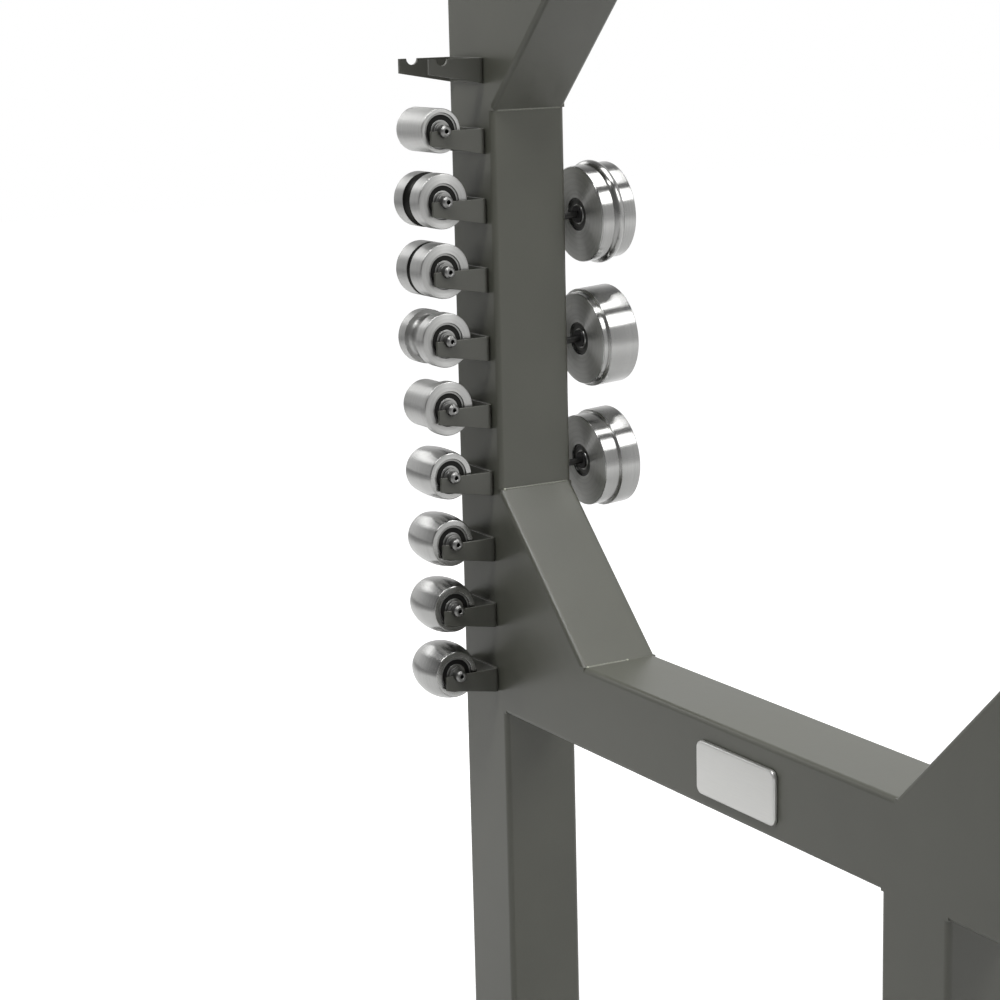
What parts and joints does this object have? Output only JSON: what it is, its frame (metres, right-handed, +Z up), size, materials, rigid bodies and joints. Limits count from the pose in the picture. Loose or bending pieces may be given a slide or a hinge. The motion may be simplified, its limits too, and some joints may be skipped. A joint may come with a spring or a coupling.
{
  "type": "english wheel",
  "caption": "C-frame english wheel with a screw-lifted lower anvil, a fixed-axle upper wheel, a side rack of profiled spare anvils and spare upper discs on pegs.",
  "frame": {"origin": "on the floor, under the middle of the bounding box", "axes": "+Z up, +X from the column towards the wheels, +Y to the side that carries the spare discs"},
  "size_m": [1.266, 0.708, 1.65],
  "materials": {
    "frame_paint": "satin dark grey paint",
    "bracket_paint": "satin dark grey paint",
    "kick_paint": "satin black paint",
    "roller_steel": "turned and polished",
    "ground_steel": "ground",
    "bearing_steel": "sealed bearing",
    "black_oxide": "black oxide",
    "black_sleeve": "moulded",
    "bronze": "machined"
  },
  "bodies": {
    "frame": {"rear_column": "frame_paint", "lower_arm": "frame_paint", "upper_arm": "frame_paint", "lower_rear_gusset": "frame_paint", "upper_rear_gusset": "frame_paint", "lower_front_gusset": "frame_paint", "upper_front_gusset": "frame_paint", "ram_post": "frame_paint", "head_post": "frame_paint", "front_leg": "frame_paint", "base_rail": "frame_paint", "cross_feet": "frame_paint", "foot_plates": "frame_paint", "end_caps": "frame_paint", "rack_brackets": "bracket_paint", "disc_pegs": "black_oxide", "peg_sleeves": "black_sleeve", "upper_yoke": "bracket_paint", "yoke_bolts": "black_oxide", "wheel_axle": "ground_steel", "axle_nuts": "black_oxide", "ram_guides": "bronze", "post_plate": "frame_paint", "thrust_bearing": "ground_steel"},
    "upper_wheel": {"upper_wheel": "roller_steel", "upper_wheel_bearings": "bearing_steel"},
    "ram": {"ram": "ground_steel", "lower_yoke": "bracket_paint", "lift_nut": "bronze"},
    "screw": {"lift_screw": "ground_steel", "screw_collar": "black_oxide", "kick_wheel": "kick_paint", "kick_wheel_nut": "ground_steel"},
    "work_axle": {"work_anvil_axle": "ground_steel", "work_anvil_bearings": "bearing_steel"},
    "work_anvil": {"work_anvil": "roller_steel"},
    "disc_1_hub": {"disc_1_bearings": "bearing_steel"},
    "disc_1": {"disc_1": "roller_steel"},
    "disc_2_hub": {"disc_2_bearings": "bearing_steel"},
    "disc_2": {"disc_2": "roller_steel"},
    "disc_3_hub": {"disc_3_bearings": "bearing_steel"},
    "disc_3": {"disc_3": "roller_steel"},
    "anvil_1_axle": {"anvil_1_axle": "bearing_steel"},
    "anvil_1": {"anvil_1": "roller_steel"},
    "anvil_2_axle": {"anvil_2_axle": "bearing_steel"},
    "anvil_2": {"anvil_2": "roller_steel"},
    "anvil_3_axle": {"anvil_3_axle": "bearing_steel"},
    "anvil_3": {"anvil_3": "roller_steel"},
    "anvil_4_axle": {"anvil_4_axle": "bearing_steel"},
    "anvil_4": {"anvil_4": "roller_steel"},
    "anvil_5_axle": {"anvil_5_axle": "bearing_steel"},
    "anvil_5": {"anvil_5": "roller_steel"},
    "anvil_6_axle": {"anvil_6_axle": "bearing_steel"},
    "anvil_6": {"anvil_6": "roller_steel"},
    "anvil_7_axle": {"anvil_7_axle": "bearing_steel"},
    "anvil_7": {"anvil_7": "roller_steel"},
    "anvil_8_axle": {"anvil_8_axle": "bearing_steel"},
    "anvil_8": {"anvil_8": "roller_steel"},
    "anvil_9_axle": {"anvil_9_axle": "bearing_steel"},
    "anvil_9": {"anvil_9": "roller_steel"}
  },
  "joints": [
    {"name": "upper_wheel_spin", "type": "hinge", "parent": "frame", "child": "upper_wheel", "pos_m": [0.493, 0, 1.27], "axis": [0, 1, 0], "continuous": true},
    {"name": "screw_turn", "type": "hinge", "parent": "frame", "child": "screw", "pos_m": [0.493, 0, 0.3], "axis": [0, 0, 1], "range_deg": [-1140, 3600]},
    {"name": "ram_lift", "type": "slide", "parent": "frame", "child": "ram", "axis": [0, 0, 1], "range_m": [-0.0601, 0.0191]},
    {"name": "work_anvil_lift", "type": "slide", "parent": "ram", "child": "work_axle", "axis": [0, 0, 1], "range_m": [0, 0.012]},
    {"name": "work_anvil_spin", "type": "hinge", "parent": "work_axle", "child": "work_anvil", "pos_m": [0.493, 0, 1.1175], "axis": [0, 1, 0], "continuous": true},
    {"name": "disc_1_pull", "type": "slide", "parent": "frame", "child": "disc_1_hub", "axis": [0, 0.9976, 0.0698], "range_m": [0, 0.055]},
    {"name": "disc_1_spin", "type": "hinge", "parent": "disc_1_hub", "child": "disc_1", "pos_m": [-0.535, 0.09589, 1.24271], "axis": [0, 0.9976, 0.0698], "continuous": true},
    {"name": "disc_2_pull", "type": "slide", "parent": "frame", "child": "disc_2_hub", "axis": [0, 0.9976, 0.0698], "range_m": [0, 0.055]},
    {"name": "disc_2_spin", "type": "hinge", "parent": "disc_2_hub", "child": "disc_2", "pos_m": [-0.535, 0.09589, 1.09231], "axis": [0, 0.9976, 0.0698], "continuous": true},
    {"name": "disc_3_pull", "type": "slide", "parent": "frame", "child": "disc_3_hub", "axis": [0, 0.9976, 0.0698], "range_m": [0, 0.055]},
    {"name": "disc_3_spin", "type": "hinge", "parent": "disc_3_hub", "child": "disc_3", "pos_m": [-0.535, 0.09589, 0.94191], "axis": [0, 0.9976, 0.0698], "continuous": true},
    {"name": "anvil_1_lift", "type": "slide", "parent": "frame", "child": "anvil_1_axle", "axis": [0, 0, 1], "range_m": [0, 0.01]},
    {"name": "anvil_1_spin", "type": "hinge", "parent": "anvil_1_axle", "child": "anvil_1", "pos_m": [-0.573, -0.107, 1.3491], "axis": [1, 0, 0], "continuous": true},
    {"name": "anvil_2_lift", "type": "slide", "parent": "frame", "child": "anvil_2_axle", "axis": [0, 0, 1], "range_m": [0, 0.01]},
    {"name": "anvil_2_spin", "type": "hinge", "parent": "anvil_2_axle", "child": "anvil_2", "pos_m": [-0.573, -0.107, 1.2674], "axis": [1, 0, 0], "continuous": true},
    {"name": "anvil_3_lift", "type": "slide", "parent": "frame", "child": "anvil_3_axle", "axis": [0, 0, 1], "range_m": [0, 0.01]},
    {"name": "anvil_3_spin", "type": "hinge", "parent": "anvil_3_axle", "child": "anvil_3", "pos_m": [-0.573, -0.107, 1.1857], "axis": [1, 0, 0], "continuous": true},
    {"name": "anvil_4_lift", "type": "slide", "parent": "frame", "child": "anvil_4_axle", "axis": [0, 0, 1], "range_m": [0, 0.01]},
    {"name": "anvil_4_spin", "type": "hinge", "parent": "anvil_4_axle", "child": "anvil_4", "pos_m": [-0.573, -0.107, 1.104], "axis": [1, 0, 0], "continuous": true},
    {"name": "anvil_5_lift", "type": "slide", "parent": "frame", "child": "anvil_5_axle", "axis": [0, 0, 1], "range_m": [0, 0.01]},
    {"name": "anvil_5_spin", "type": "hinge", "parent": "anvil_5_axle", "child": "anvil_5", "pos_m": [-0.573, -0.107, 1.0223], "axis": [1, 0, 0], "continuous": true},
    {"name": "anvil_6_lift", "type": "slide", "parent": "frame", "child": "anvil_6_axle", "axis": [0, 0, 1], "range_m": [0, 0.01]},
    {"name": "anvil_6_spin", "type": "hinge", "parent": "anvil_6_axle", "child": "anvil_6", "pos_m": [-0.573, -0.107, 0.9406], "axis": [1, 0, 0], "continuous": true},
    {"name": "anvil_7_lift", "type": "slide", "parent": "frame", "child": "anvil_7_axle", "axis": [0, 0, 1], "range_m": [0, 0.01]},
    {"name": "anvil_7_spin", "type": "hinge", "parent": "anvil_7_axle", "child": "anvil_7", "pos_m": [-0.573, -0.107, 0.8589], "axis": [1, 0, 0], "continuous": true},
    {"name": "anvil_8_lift", "type": "slide", "parent": "frame", "child": "anvil_8_axle", "axis": [0, 0, 1], "range_m": [0, 0.01]},
    {"name": "anvil_8_spin", "type": "hinge", "parent": "anvil_8_axle", "child": "anvil_8", "pos_m": [-0.573, -0.107, 0.7772], "axis": [1, 0, 0], "continuous": true},
    {"name": "anvil_9_lift", "type": "slide", "parent": "frame", "child": "anvil_9_axle", "axis": [0, 0, 1], "range_m": [0, 0.01]},
    {"name": "anvil_9_spin", "type": "hinge", "parent": "anvil_9_axle", "child": "anvil_9", "pos_m": [-0.573, -0.107, 0.6955], "axis": [1, 0, 0], "continuous": true}
  ],
  "couplings": [
    {"joint": "ram_lift", "follows": "screw_turn", "m_per_rad": -0.00095493}
  ]
}
